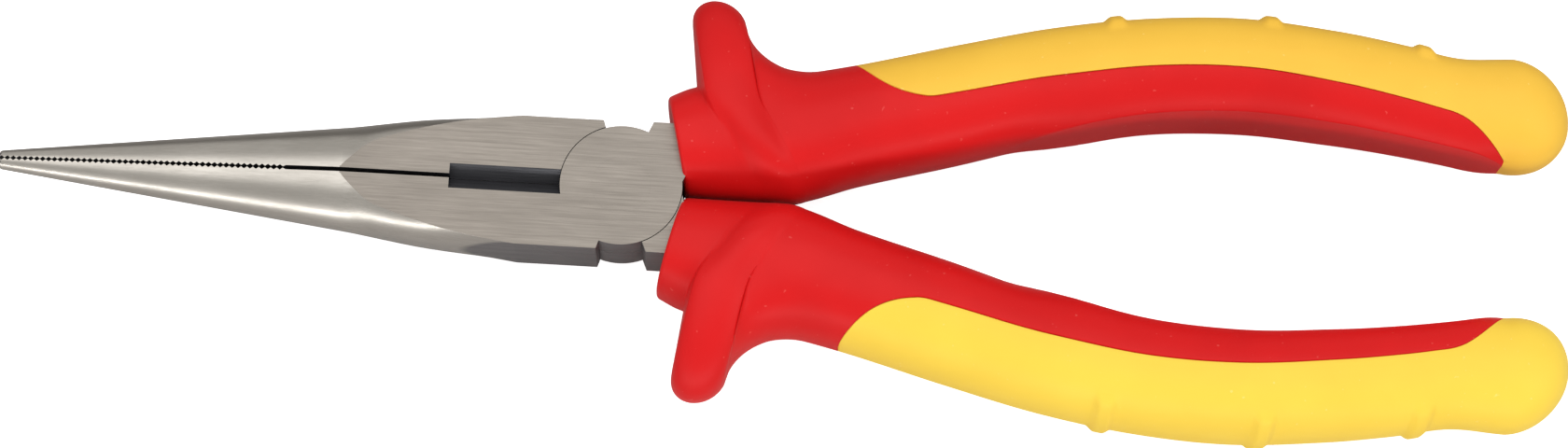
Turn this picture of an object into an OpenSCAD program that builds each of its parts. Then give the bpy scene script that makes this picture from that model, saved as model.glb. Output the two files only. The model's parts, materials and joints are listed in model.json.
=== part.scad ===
// Insulated long nose pliers with side cutters, closed, lying flat.
// +X runs to the handle ends, +Z is up, and the joint's axis is parallel to Z.
// The lever modules are drawn about the joint's centre, in the mid-plane, and place() seats them.

/* [Overall] */
// Reach of the jaws from the joint's centre to the tip
jaw_reach = 79.3; // [66:0.1:96]
// Reach of the handles from the joint's centre to their ends
handle_reach = 121.2; // [100:0.1:146]

/* [Head] */
// Thickness of the ground head
head_t = 10; // [8:0.1:12]
// Width of the head across both jaws
head_w = 16.8; // [14:0.1:20.2]
// Radius of the round joint layers
disc_r = 7.75; // [6.8:0.05:8.2]
// Angle of each jaw's shoulder, measured from +X
jaw_shoulder = 107.8; // [100:0.1:115]
// Opening angle that the notches beside the joint leave
notch_angle = 41; // [33:0.5:49]

/* [Nose] */
// Width of the closed nose at its tip
tip_w = 2.4; // [2:0.1:4]
// Thickness of the nose at its tip
tip_t = 2.4; // [2:0.1:4]
// Length of the round nose in front of the ground flats
round_len = 43.7; // [35:0.1:52]
// Length over which the flats widen to the full head
flats_len = 22.6; // [16:0.1:27]

/* [Teeth and cutter] */
// Pitch of the jaw teeth
tooth_pitch = 0.76; // [0.6:0.02:1.2]
// Depth of the jaw teeth
tooth_depth = 0.22; // [0.15:0.01:0.35]
// Length of the toothed stretch behind the tip
toothed_len = 36.5; // [28:0.1:42]
// Width of the relief slot between the teeth and the cutter
relief_w = 0.56; // [0.3:0.02:1]
// Length of the cutter pocket in front of the joint layer
cutter_len = 14; // [10:0.1:18]
// Width of the cutter pocket
cutter_w = 3.2; // [2.4:0.1:4.4]
// Depth of the cutting edges below the front face
knife_depth = 1.7; // [1:0.1:3]

/* [Joint] */
// Radius of the joint rivet
rivet_r = 3; // [2.4:0.1:3.8]
// Radius of the rivet's closed ends, flush with the faces
rivet_head_r = 3.7; // [3:0.1:4.6]
// Radial running gap round the rivet in the front half
rivet_gap = 0.04; // [0.01:0.01:0.1]
// Gap between the two lapped layers
lap_gap = 0.06; // [0.04:0.01:0.15]
// Radial gap round the joint layers
disc_gap = 0.1; // [0.06:0.01:0.2]
// Gap between the closed jaws at the teeth and at the cutting edges
seam_gap = 0.06; // [0.04:0.01:0.15]

/* [Tang] */
// Width of the steel tang inside each handle
tang_w = 6.4; // [5:0.1:7.6]
// Thickness of the tang
tang_t = 6.4; // [5:0.1:7.6]
// Distance from the tang's end to the handle's end
tang_short = 24.2; // [22:0.1:40]
// Gap between the tang and its sleeve
tang_gap = 0.02; // [0.01:0.01:0.05]

/* [Handles] */
// Half of the widest gap between the two handles
inner_reach = 13.2; // [11:0.1:15.8]
// Width of one handle where the hand holds it
grip_w = 14.4; // [12:0.1:17.2]
// Thickness of one handle, at right angles to its width
grip_d = 17.6; // [14.7:0.1:21.1]
// Gap between the two handles where they nearly touch
throat_gap = 0.6; // [0.6:0.1:1.6]
// Distance from the joint's centre to the sleeve's front, on its outer side
collar_x = 5.1; // [4.8:0.1:7]
// Thickness of the soft grip on the hard sleeve
pad_t = 2; // [1.4:0.1:2.4]
// Gap between the soft grip and the sleeve
pad_gap = 0.02; // [0.01:0.01:0.05]
// Distance from the joint's centre to the soft grip's front end
pad_x = 28.5; // [27:0.1:34]
// Length of the rounded cap at the handle's end
cap_len = 7.6; // [5:0.1:10]
// Distance from the handle's end to where the soft grip begins to close round it
wrap_back = 17.2; // [14:0.1:20]

/* [Guard] */
// Reach of the thumb guard's tip from the middle of the pliers
guard_reach = 26.4; // [24:0.1:31.7]
// Distance from the joint's centre to the thumb guard's tip, along the pliers
guard_x = 10.5; // [10:0.1:15]
// Thickness of the thumb guard
guard_t = 6.6; // [5.2:0.1:7.9]

/* [Ribs] */
// Number of cross ribs on each grip
rib_count = 3; // [1:1:4]
// Distance between the ribs
rib_pitch = 20; // [14:0.5:24]
// Distance from the handle's end to the last rib
rib_back = 19.2; // [16:0.1:23]
// Width of a rib
rib_w = 2.4; // [1.6:0.1:3.6]
// Height of a rib
rib_h = 0.5; // [0.3:0.05:0.9]

/* [Hidden] */

steel = [0.62, 0.6, 0.56];
red = [0.91, 0.14, 0.15];
yellow = [0.99, 0.83, 0.32];
cut = 1;  // what a cutting solid reaches past the solid that it cuts

// Places shared by the halves, the sleeves and the grips
tip_x = -jaw_reach;
flats_x = tip_x + round_len;
full_x = flats_x + flats_len;
pocket_x = -disc_r - cutter_len;
handle_shoulder = jaw_shoulder - notch_angle;
root_proud = 0.1;  // how far the tang's root stands past the head's side
root_half = head_w / 2 + root_proud;
root_end = 12;
root_taper = 3;  // length over which the root narrows to the tang's side
collar_slant = 0.24;
wall = 1.2;
cap_x = handle_reach - cap_len;
core_end = cap_x - wall;
tang_reach = handle_reach - tang_short;
wrap_x = handle_reach - wrap_back;
first_rib = handle_reach - rib_back - (rib_count - 1) * rib_pitch;

// The handle's shape: [share of the reach, inner edge as a share of inner_reach,
// width as a share of grip_w, thickness as a share of grip_d]
handle_shape = [
    [0.04, 0.00, 0.86, 0.84], [0.07, 0.00, 0.97, 0.85], [0.13, 0.00, 1.09, 0.86],
    [0.19, 0.06, 1.14, 0.90], [0.25, 0.25, 1.08, 0.94], [0.35, 0.51, 1.07, 0.94],
    [0.45, 0.79, 1.02, 0.94], [0.55, 1.01, 0.95, 0.96], [0.65, 1.08, 0.93, 1.00],
    [0.75, 1.02, 0.92, 0.95], [0.82, 0.94, 0.91, 0.86], [0.88, 0.85, 0.90, 0.79],
    [0.95, 0.72, 1.04, 0.82], [1.00, 0.68, 1.00, 0.82]
];

// ---- Helper functions ----

function share(x) = min(1, max(0, x));
function ease(x) = let (s = share(x)) s * s * (3 - 2 * s);
function mix(a, b, t) = a + (b - a) * t;
function signed_pow(x, e) = sign(x) * pow(abs(x), e);

// A smooth curve through column c of the rows of a list, at x
function row_at(rows, x, i = 0) =
    (i >= len(rows) - 2 || x < rows[i + 1][0]) ? i : row_at(rows, x, i + 1);
function slope_at(rows, i, c) =
    let (a = max(0, i - 1), b = min(len(rows) - 1, i + 1))
    (rows[b][c] - rows[a][c]) / (rows[b][0] - rows[a][0]);
function curve(rows, x, c) =
    let (i = row_at(rows, x), h = rows[i + 1][0] - rows[i][0], t = (x - rows[i][0]) / h)
    (2 * t^3 - 3 * t^2 + 1) * rows[i][c] + (t^3 - 2 * t^2 + t) * h * slope_at(rows, i, c)
    + (3 * t^2 - 2 * t^3) * rows[i + 1][c] + (t^3 - t^2) * h * slope_at(rows, i + 1, c);

// The faces between two rings of point numbers, both running with growing angle
function strip(a, b) = [for (j = [0:len(a) - 1]) let (k = (j + 1) % len(a))
    each [[a[k], a[j], b[k]], [b[k], a[j], b[j]]]];
// The same, with each face split along its other diagonal
function other_strip(a, b) = [for (j = [0:len(a) - 2])
    each [[a[j + 1], a[j], b[j]], [a[j + 1], b[j], b[j + 1]]]];
function ring_numbers(first, count) = [for (j = [0:count - 1]) first + j];
function backwards(v) = [for (i = [len(v) - 1:-1:0]) v[i]];

// A closed solid through rings with the same number of points, with flat end faces
module flat_loft(rings) {
    n = len(rings[0]);
    last = len(rings) - 1;
    polyhedron(
        points = [for (ring = rings) each ring],
        faces = concat(
            [for (i = [0:last - 1]) each strip(ring_numbers(i * n, n), ring_numbers((i + 1) * n, n))],
            [ring_numbers(0, n), backwards(ring_numbers(last * n, n))]));
}

// The same, with each end closed round its middle point, for rings that are not flat
module loft(rings) {
    n = len(rings[0]);
    last = len(rings) - 1;
    middle = (last + 1) * n;
    polyhedron(
        points = concat([for (ring = rings) each ring], [ring_mean(rings[0]), ring_mean(rings[last])]),
        faces = concat(
            [for (i = [0:last - 1]) each strip(ring_numbers(i * n, n), ring_numbers((i + 1) * n, n))],
            [for (j = [0:n - 1]) [middle, j, (j + 1) % n]],
            [for (j = [0:n - 1]) [middle + 1, last * n + (j + 1) % n, last * n + j]]));
}
function sum_of(v, i = 0) = i == len(v) ? 0 : v[i] + sum_of(v, i + 1);
function ring_mean(ring) = [for (a = [0:2]) sum_of([for (p = ring) p[a]]) / len(ring)];

// ---- The forged halves ----
// A half is drawn as the front one: jaw at -Y, joint layer above the mid-plane, tang at +Y.

taper_blend = 16;
nose_end = full_x - 3;
nose_slope = (head_w - tip_w) / 2 / (nose_end - taper_blend / 2 - tip_x);
function nose_half_w(x) =
    x < nose_end - taper_blend ? tip_w / 2 + nose_slope * (x - tip_x)
    : head_w / 2 - nose_slope / (2 * taper_blend) * pow(max(0, nose_end - x), 2);
function flats_share(x) = pow(share((x - flats_x) / flats_len), 1 / 3);
function nose_round(x) =
    x < flats_x ? 2 / mix(tip_t, head_t, (x - tip_x) / round_len)
    : 2 / head_t * sqrt(max(0, 1 - pow(flats_share(x), 2)));

// A ring of the nose: the seam side is straight, the outer side is an ellipse cut by the flats
nose_steps = 10;
function nose_ring(x) =
    let (round_of = nose_round(x), top = min(head_t / 2, 1 / max(round_of, 0.001)),
         reach = min(top * round_of, sin(86)),
         rim = [for (i = [0:nose_steps]) let (s = reach * cos(180 * i / nose_steps))
             [x, -nose_half_w(x) * sqrt(1 - s * s), top * cos(180 * i / nose_steps)]])
    concat([[x, 0, top]], rim, [[x, 0, -top]]);

module nose() {
    places = concat(
        [for (i = [0:6]) mix(tip_x, flats_x, i / 6)],
        [for (i = [1:9]) mix(flats_x, full_x, pow(i / 9, 1.6))],
        [full_x + 2]);
    flat_loft([for (x = places) nose_ring(x)]);
}

module head_plan() {
    reach = head_w / 2 / sin(jaw_shoulder);
    polygon([
        [full_x, 0], [0, 0],
        [reach * cos(jaw_shoulder), -head_w / 2], [full_x, -head_w / 2]]);
}

// What the jaw loses along the seam: teeth, relief slot and running gap
module seam_cut() {
    teeth = round(toothed_len / tooth_pitch);
    relief_x = tip_x + teeth * tooth_pitch;
    comb = [for (i = [0:teeth - 1]) let (x = tip_x + i * tooth_pitch) each [
        [x, -crest(i / teeth)], [x + tooth_pitch / 2, -crest(i / teeth) - tooth_depth]]];
    translate([0, 0, -head_t]) linear_extrude(2 * head_t) polygon(concat(
        [[tip_x - cut, cut], [tip_x - cut, -seam_gap / 2]], comb,
        [[relief_x, -crest(1)], [relief_x + tooth_pitch / 2, -relief_w / 2],
         [pocket_x, -relief_w / 2], [pocket_x, -seam_gap / 2], [cut, -seam_gap / 2], [cut, cut]]));
}
function crest(t) = mix(seam_gap / 2, relief_w / 6, t);

// The cutter pocket: a bevel down to the cutting edge, and a deeper relief behind it
knife_land = 2.6;
module cutter_cut(edge_z) {
    relief_z = edge_z - sign(edge_z) * knife_land;
    face_z = sign(edge_z) * head_t / 2;
    translate([pocket_x, 0, 0]) rotate([90, 0, 90]) linear_extrude(cutter_len + cut) polygon([
        [-seam_gap / 2, edge_z], [-cutter_w / 2, face_z], [-cutter_w / 2, 2 * face_z],
        [cut, 2 * face_z], [cut, -2 * face_z], [-cutter_w / 2, -2 * face_z],
        [-cutter_w / 2, relief_z]]);
}

// Edges of the tang: from the head's root to the middle of the handle
tang_blend = 12;  // length over which the tang moves to the handle's middle
function tang_share(x) = ease((x - root_end + root_taper) / tang_blend);
function tang_inner(x) =
    mix(throat_gap / 2 + wall, handle_middle(x) - tang_w / 2, tang_share(x));
function tang_outer(x) = mix(root_half, handle_middle(x) + tang_w / 2, tang_share(x));

tang_step = 7.5;
root_lead = 0.4;  // how far the root starts inside the joint layer
module root_plan(grow = 0) {
    reach = root_half / sin(handle_shoulder);
    front = disc_r - root_lead;
    polygon([
        [0, seam_gap / 2], [front, seam_gap / 2], [front + 1, tang_inner(front + 1) - grow],
        [root_end + grow, tang_inner(root_end) - grow], [root_end + grow, tang_outer(root_end) + grow],
        [root_end - root_taper, root_half + grow], [reach * cos(handle_shoulder), root_half + grow]]);
}
module tang_plan(grow = 0) {
    start = root_end - 1;
    steps = ceil((tang_reach - start) / tang_step);
    places = [for (i = [0:steps]) mix(start, tang_reach + grow, i / steps)];
    nose_r = 1.2;
    polygon(concat(
        [for (x = places) if (x < tang_reach - nose_r) [x, tang_inner(x) - grow]],
        [[tang_reach - nose_r, tang_inner(tang_reach) - grow],
         [tang_reach + grow, tang_inner(tang_reach) + nose_r],
         [tang_reach + grow, tang_outer(tang_reach) - nose_r],
         [tang_reach - nose_r, tang_outer(tang_reach) + grow]],
        [for (i = [steps:-1:0]) if (places[i] < tang_reach - nose_r)
            [places[i], tang_outer(places[i]) + grow]]));
}
module slab(t) { translate([0, 0, -t / 2]) linear_extrude(t) children(); }
module lever_root(grow = 0) {
    slab(head_t + 2 * grow) root_plan(grow);
    slab(tang_t + 2 * grow) tang_plan(grow);
}

module half(edge_z, bore_gap) {
    difference() {
        union() {
            difference() {
                union() {
                    difference() {
                        union() { nose(); slab(head_t) head_plan(); }
                        seam_cut();
                        cutter_cut(edge_z);
                    }
                    lever_root();
                }
                translate([0, 0, -head_t]) cylinder(h = head_t + lap_gap / 2, r = disc_r + disc_gap, $fn = 96);
            }
            translate([0, 0, lap_gap / 2])
                cylinder(h = (head_t - lap_gap) / 2, r = disc_r, $fn = 96);
        }
        rivet_shape(bore_gap, head_t / 2 + cut);
    }
}

// The rivet, or with a gap the hole for it
module rivet_shape(gap = 0, reach = head_t / 2) {
    flare = rivet_head_r - rivet_r;
    face = head_t / 2;
    wide = rivet_head_r + gap + (reach - face);
    rotate_extrude($fn = 96) polygon([
        [0, -reach], [wide, -reach], [rivet_r + gap, -face + flare],
        [rivet_r + gap, face - flare], [wide, reach], [0, reach]]);
}

// ---- The handles, drawn as the upper one ----

function handle_inner(x) =
    max(throat_gap / 2, inner_reach * curve(handle_shape, x / handle_reach, 1));
function handle_half_w(x) = grip_w / 2 * curve(handle_shape, x / handle_reach, 2);
function handle_half_d(x) = grip_d / 2 * curve(handle_shape, x / handle_reach, 3);
function handle_middle(x) = handle_inner(x) + handle_half_w(x);
function cap_share(x) = sqrt(max(0, 1 - pow(share((x - cap_x) / (handle_reach - cap_x)), 2)));

// Ribs: a round bump at each rib, fading out towards the faces
function rib_bump(x) = max([for (i = [0:rib_count - 1])
    let (d = (x - first_rib - i * rib_pitch) / (rib_w / 2)) abs(d) < 1 ? 1 - d * d : 0]);
rib_angle = 42;  // half the angle that a rib covers, before its end slopes away
rib_fade = 14;
function rib_rise(x, phi, inset) =
    inset > 0 ? 0 : rib_h * rib_bump(x) * (1 - ease((abs(phi) - rib_angle) / rib_fade));

// A point of the handle's section: phi is 0 at the outer side and 180 at the inner side,
// and inset moves it inwards. The inner side is flat in the hand's stretch.
flat_share = 0.2;
bulge = 0.88;
slant_fade = 20;  // length over which the sleeve's slanted front end straightens
function handle_point(x, phi, inset = 0) =
    let (s = cap_share(x), c = cos(phi),
         w = handle_half_w(min(x, cap_x)) * s - inset + rib_rise(x, phi, inset),
         d = handle_half_d(min(x, cap_x)) * s - inset + rib_rise(x, phi, inset),
         flat = 1 + flat_share * ease((x / handle_reach - 0.4) / 0.1) * ease((cap_x - x) / 6),
         y = handle_middle(x) + (c > 0 ? w * pow(c, bulge) : -min(w, w * flat * pow(-c, bulge))),
         slant = collar_slant * (1 - ease((x - collar_x) / slant_fade)))
    [x + slant * (handle_middle(collar_x) + handle_half_w(collar_x) - y), y,
     max(0.2, d) * signed_pow(sin(phi), bulge)];

// The angle at which the soft grip's edge lies
edge_start = 92;
edge_drift = 14;
edge_nose = 11.5;  // length of the grip's rounded front end
edge_least = 34;
edge_most = 150;
function edge_angle(x) =
    let (nose_t = share((x - pad_x) / edge_nose), far_t = share((x - wrap_x) / (cap_x - wrap_x)),
         drift = edge_drift * share((x - pad_x - edge_nose) / (wrap_x - pad_x - edge_nose)))
    min(edge_most, max(edge_least, edge_start * sqrt(1 - pow(1 - nose_t, 2)) + drift
        + (180 - edge_start - edge_drift) * pow(far_t, 2.5)));

hard_steps = 14;
soft_steps = 14;
function hard_arc(x, inset) = [for (i = [0:hard_steps])
    handle_point(x, mix(edge_angle(x), 360 - edge_angle(x), i / hard_steps), inset)];
function soft_arc(x, inset, short) = let (end = edge_angle(x) - short)
    [for (i = [0:soft_steps]) handle_point(x, mix(-end, end, i / soft_steps), inset)];

function between(a, b, step) = let (n = ceil((b - a) / step)) [for (i = [0:n]) mix(a, b, i / n)];
function rib_places() = [for (i = [0:rib_count - 1], d = [-1, -0.55, 0, 0.55, 1])
    first_rib + i * rib_pitch + d * rib_w / 2];
function beside_ribs(places) = [for (x = places)
    if (min([for (i = [0:rib_count - 1]) abs(x - first_rib - i * rib_pitch)]) > rib_w) x];
function sorted(v) = len(v) < 2 ? v : let (p = v[floor(len(v) / 2)]) concat(
    sorted([for (x = v) if (x < p) x]), [p], sorted([for (x = v) if (x > p) x]));

// The recess for the soft grip: its side walls lean by pad_draft, and its front wall by pad_lip
pad_lip = 0.3;
pad_draft = 2;
recess_places = sorted(concat([pad_x + pad_lip, pad_x + 1.2, pad_x + 3],
    beside_ribs(between(pad_x + 5, core_end, 4)), rib_places()));

function sleeve_ring(x, hard_inset, soft_inset) =
    concat(hard_arc(x, hard_inset), soft_arc(x, soft_inset, pad_draft));
module handle_body() {
    lip = [[0, 1.2], [0.3, 0.5], [1.1, 0]];
    front = [for (p = lip) sleeve_ring(collar_x + p[0], p[1], p[1])];
    neck = [for (x = between(collar_x + 3.5, pad_x, 2.6)) sleeve_ring(x, 0, 0)];
    core = [for (x = recess_places) sleeve_ring(x, 0, pad_t)];
    loft(concat(front, neck, core));
}

// The thumb guard: an oval plate with a round rim, leaning towards the jaws
guard_lean = 0.2;
guard_middle = 8;
guard_sweep = 4;  // how far the guard's foot sweeps back at the middle of the pliers
guard_foot = 9;
function guard_plane(y) =
    guard_x + guard_lean * (guard_reach - y) + guard_sweep * pow(max(0, 1 - y / guard_foot), 2);
function guard_ring(q) = [for (phi = [0:10:350])
    let (inset = guard_t / 2 * (1 - cos(q)), c = cos(phi),
         w = (c > 0 ? guard_reach - guard_middle : guard_middle - throat_gap / 2) - inset,
         y = guard_middle + w * signed_pow(c, 0.92),
         z = (grip_d / 2 - inset) * signed_pow(sin(phi), 0.92))
    [guard_plane(y) + guard_t / 2 * sin(q), y, z]];
module guard() { loft([for (q = [-90:22.5:90]) guard_ring(q)]); }

module sleeve() {
    color(red) difference() {
        union() { handle_body(); guard(); }
        lever_root(tang_gap);
    }
}

// The soft grip is one solid: a pad that wraps the recess as far as the core's end, then a bulb
side_gap = 0.3;  // degrees between the edges of pad and recess
// The pad's hollow side has the recess's own angles, but for its two ends
function hollow_arc(x, depth) = let (arc = soft_arc(x, depth, pad_draft), end = edge_angle(x) - pad_draft - side_gap)
    [for (i = [0:soft_steps]) i == 0 ? handle_point(x, -end, depth)
        : i == soft_steps ? handle_point(x, end, depth) : arc[i]];
function pad_ring(x, depth) = concat(soft_arc(x, 0, side_gap), backwards(hollow_arc(x, depth)));
function bulb_arc(x, edge) =
    [for (i = [1:hard_steps - 1]) handle_point(x, mix(edge, 360 - edge, i / hard_steps))];
module grip() {
    rear = core_end + pad_gap;
    edge = edge_angle(rear) - side_gap;
    pad = concat(
        [pad_ring(pad_x + 2 * pad_gap, 2 * pad_gap)],
        [for (x = recess_places) if (x < core_end - 0.5)
            pad_ring(max(x, pad_x + pad_lip + 2 * pad_gap), pad_t - pad_gap)],
        [pad_ring(rear, pad_t - pad_gap)]);
    bulb = [for (t = [0.25, 0.45, 0.62, 0.77, 0.89, 0.97])
        let (x = mix(rear, handle_reach, t)) concat(
            [for (i = [0:soft_steps]) handle_point(x, mix(-edge, edge, i / soft_steps))],
            bulb_arc(x, edge))];
    arc = soft_steps + 1;
    bulb_n = arc + hard_steps - 1;
    last_pad = 2 * arc * (len(pad) - 1);
    inner_side = 2 * arc * len(pad);
    first_bulb = inner_side + hard_steps - 1;
    last_bulb = first_bulb + bulb_n * (len(bulb) - 1);
    outer_at_rear = ring_numbers(last_pad, arc);
    hollow_at_rear = backwards(ring_numbers(last_pad + arc, arc));
    side_at_rear = ring_numbers(inner_side, hard_steps - 1);
    color(yellow) polyhedron(
        points = concat(
            [for (ring = pad) each ring], bulb_arc(rear, edge), [for (ring = bulb) each ring],
            [[handle_reach, handle_point(handle_reach, 0)[1], 0]]),
        faces = concat(
            [for (i = [0:len(pad) - 2]) let (a = 2 * arc * i, b = 2 * arc * (i + 1)) each concat(
                [for (j = [0:arc - 2])
                    each [[a + j + 1, a + j, b + j + 1], [b + j + 1, a + j, b + j]]],
                other_strip(concat(ring_numbers(a + arc - 1, arc + 1), [a]),
                    concat(ring_numbers(b + arc - 1, arc + 1), [b])))],
            [ring_numbers(0, 2 * arc)],
            [concat([outer_at_rear[arc - 1]], side_at_rear, [outer_at_rear[0]], hollow_at_rear)],
            strip(concat(outer_at_rear, side_at_rear), ring_numbers(first_bulb, bulb_n)),
            [for (i = [0:len(bulb) - 2]) each strip(
                ring_numbers(first_bulb + bulb_n * i, bulb_n),
                ring_numbers(first_bulb + bulb_n * (i + 1), bulb_n))],
            [for (j = [0:bulb_n - 1])
                [last_bulb + bulb_n, last_bulb + (j + 1) % bulb_n, last_bulb + j]]));
}

// ---- The nodes ----

module place() { translate([(jaw_reach - handle_reach) / 2, 0, grip_d / 2]) children(); }
module turned() { rotate([180, 0, 0]) children(); }
knife_z = head_t / 2 - knife_depth;

module front_half() { color(steel) place() half(knife_z, rivet_gap); }
module rear_half() { color(steel) place() turned() half(-knife_z, 0); }
module joint_rivet() { color(steel) place() rivet_shape(); }
module upper_sleeve() { place() sleeve(); }
module lower_sleeve() { place() turned() sleeve(); }
module upper_grip() { place() grip(); }
module lower_grip() { place() turned() grip(); }

front_half();
rear_half();
joint_rivet();
upper_sleeve();
lower_sleeve();
upper_grip();
lower_grip();
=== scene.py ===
import json
import math

import bmesh
import bpy
import numpy as np
from mathutils import Matrix, Vector


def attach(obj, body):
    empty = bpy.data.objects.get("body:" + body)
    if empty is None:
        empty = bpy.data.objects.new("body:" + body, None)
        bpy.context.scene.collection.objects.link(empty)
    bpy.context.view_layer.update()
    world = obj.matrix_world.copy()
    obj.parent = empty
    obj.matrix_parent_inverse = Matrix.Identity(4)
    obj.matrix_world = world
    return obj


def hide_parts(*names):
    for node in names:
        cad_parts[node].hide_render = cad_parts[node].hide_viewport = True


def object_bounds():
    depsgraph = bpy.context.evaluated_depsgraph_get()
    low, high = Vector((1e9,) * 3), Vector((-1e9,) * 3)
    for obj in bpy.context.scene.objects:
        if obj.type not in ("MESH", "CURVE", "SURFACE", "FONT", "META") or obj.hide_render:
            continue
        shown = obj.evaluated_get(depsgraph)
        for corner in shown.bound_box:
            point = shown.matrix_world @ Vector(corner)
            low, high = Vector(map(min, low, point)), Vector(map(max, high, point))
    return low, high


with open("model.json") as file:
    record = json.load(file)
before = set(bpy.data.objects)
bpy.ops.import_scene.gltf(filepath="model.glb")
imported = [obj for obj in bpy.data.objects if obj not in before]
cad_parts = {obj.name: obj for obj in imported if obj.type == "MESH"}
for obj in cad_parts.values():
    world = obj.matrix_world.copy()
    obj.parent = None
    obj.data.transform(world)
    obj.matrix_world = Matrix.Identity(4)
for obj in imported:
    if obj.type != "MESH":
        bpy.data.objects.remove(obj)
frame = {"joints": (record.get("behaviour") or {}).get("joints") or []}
CAD_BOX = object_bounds()

# ---- Sizes in millimetres, about the joint's centre, as the maker gives them ----

MM = 0.001
PIVOT = Vector(frame["joints"][0]["pos_m"])

JAW_REACH = 79.3
HANDLE_REACH = 121.2
HEAD_T = 10.0
HEAD_W = 16.8
DISC_R = 7.75
JAW_SHOULDER = math.radians(107.8)
HANDLE_SHOULDER = math.radians(66.8)
TIP_W = 2.4
TIP_T = 2.4
ROUND_LEN = 43.7
FLATS_LEN = 22.6
TOOTH_PITCH = 0.76
TOOTH_DEPTH = 0.27
TEETH = 48
RELIEF_W = 0.56
CUTTER_LEN = 14.0
CUTTER_W = 3.2
KNIFE_DEPTH = 1.7
KNIFE_LAND = 2.6
RIVET_R = 3.0
RIVET_HEAD_R = 3.7
LAP_GAP = 0.06
DISC_GAP = 0.1
SEAM_GAP = 0.06
TANG_W = 6.4
TANG_REACH = 97.0
INNER_REACH = 13.2
GRIP_W = 14.4
GRIP_D = 17.6
THROAT_GAP = 0.6
COLLAR_X = 5.1
PAD_T = 2.0
PAD_X = 28.5
GUARD_REACH = 26.4
GUARD_X = 10.5
GUARD_R = 3.3
RIBS = (62.0, 82.0, 102.0)
RIB_W = 3.3
RIB_H = 0.62
RIB_TOP = 0.3
CAP_LEN = 7.6
WRAP_BACK = 17.2

TIP_X = -JAW_REACH
FLATS_X = TIP_X + ROUND_LEN
FULL_X = FLATS_X + FLATS_LEN
POCKET_X = -DISC_R - CUTTER_LEN
FACE_Z = HEAD_T / 2
ROOT_HALF = HEAD_W / 2 + 0.1
ROOT_END = 12.0
ROOT_INNER = 2.4
WALL = 1.2
CAP_X = HANDLE_REACH - CAP_LEN
CORE_END = CAP_X - WALL
WRAP_X = HANDLE_REACH - WRAP_BACK

# The handle's shape: share of the reach, inner edge, width and thickness as shares
HANDLE_SHAPE = np.array([
    [0.04, 0.00, 0.86, 0.84], [0.07, 0.00, 0.97, 0.85], [0.13, 0.00, 1.09, 0.86],
    [0.19, 0.06, 1.14, 0.90], [0.25, 0.25, 1.08, 0.94], [0.35, 0.51, 1.07, 0.94],
    [0.45, 0.79, 1.02, 0.94], [0.55, 1.01, 0.95, 0.96], [0.65, 1.08, 0.93, 1.00],
    [0.75, 1.02, 0.92, 0.95], [0.82, 0.94, 0.91, 0.86], [0.88, 0.85, 0.90, 0.79],
    [0.95, 0.72, 1.04, 0.82], [1.00, 0.68, 1.00, 0.82],
])


# ---- Small helpers ----

def share(x):
    return np.clip(x, 0.0, 1.0)


def ease(x):
    s = share(x)
    return s * s * (3 - 2 * s)


def mix(a, b, t):
    return a + (b - a) * t


def signed_pow(x, e):
    return np.sign(x) * np.abs(x) ** e


def curve(rows, x, column):
    """A smooth curve through one column of the shape table."""
    xs = rows[:, 0]
    ys = rows[:, column]
    slopes = np.empty(len(xs))
    slopes[1:-1] = (ys[2:] - ys[:-2]) / (xs[2:] - xs[:-2])
    slopes[0] = (ys[1] - ys[0]) / (xs[1] - xs[0])
    slopes[-1] = (ys[-1] - ys[-2]) / (xs[-1] - xs[-2])
    i = np.clip(np.searchsorted(xs, x, side="right") - 1, 0, len(xs) - 2)
    h = xs[i + 1] - xs[i]
    t = (x - xs[i]) / h
    return ((2 * t**3 - 3 * t**2 + 1) * ys[i] + (t**3 - 2 * t**2 + t) * h * slopes[i]
            + (3 * t**2 - 2 * t**3) * ys[i + 1] + (t**3 - t**2) * h * slopes[i + 1])


def build_mesh(name, points, faces, turned=False):
    """A mesh object from points in millimetres about the joint, turned over for the rear lever."""
    co = np.asarray(points, float)
    if turned:
        co = co * np.array([1.0, -1.0, -1.0])
    co = co * MM + np.array(PIVOT)
    mesh = bpy.data.meshes.new(name)
    mesh.from_pydata(co.tolist(), [], faces)
    mesh.update()
    obj = bpy.data.objects.new(name, mesh)
    bpy.context.scene.collection.objects.link(obj)
    work = bmesh.new()
    work.from_mesh(mesh)
    bmesh.ops.remove_doubles(work, verts=work.verts, dist=1e-7)
    bmesh.ops.recalc_face_normals(work, faces=work.faces)
    work.to_mesh(mesh)
    work.free()
    return obj


def ring_faces(first, count, rings, closed=True):
    """Quads between rings that lie one after the other in the point list."""
    faces = []
    for i in range(rings - 1):
        a = first + i * count
        b = a + count
        for j in range(count if closed else count - 1):
            k = (j + 1) % count
            faces.append((a + j, a + k, b + k, b + j))
    return faces


def set_smooth(obj, angle):
    """Smooth shading, kept crisp where faces meet at more than the given angle."""
    mesh = obj.data
    mesh.polygons.foreach_set("use_smooth", [True] * len(mesh.polygons))
    mesh.set_sharp_from_angle(angle=math.radians(angle))


# ---- Camera ----

VIEW_TILT = math.radians(14.5)
VIEW_TURN = math.radians(1.444)
VIEW_ROLL = math.radians(-2.99)
VIEW_DISTANCE = 466.3
VIEW_OFFSET = Vector((-20.72, 3.68, 0.0))
LENS = 83.84


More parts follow.
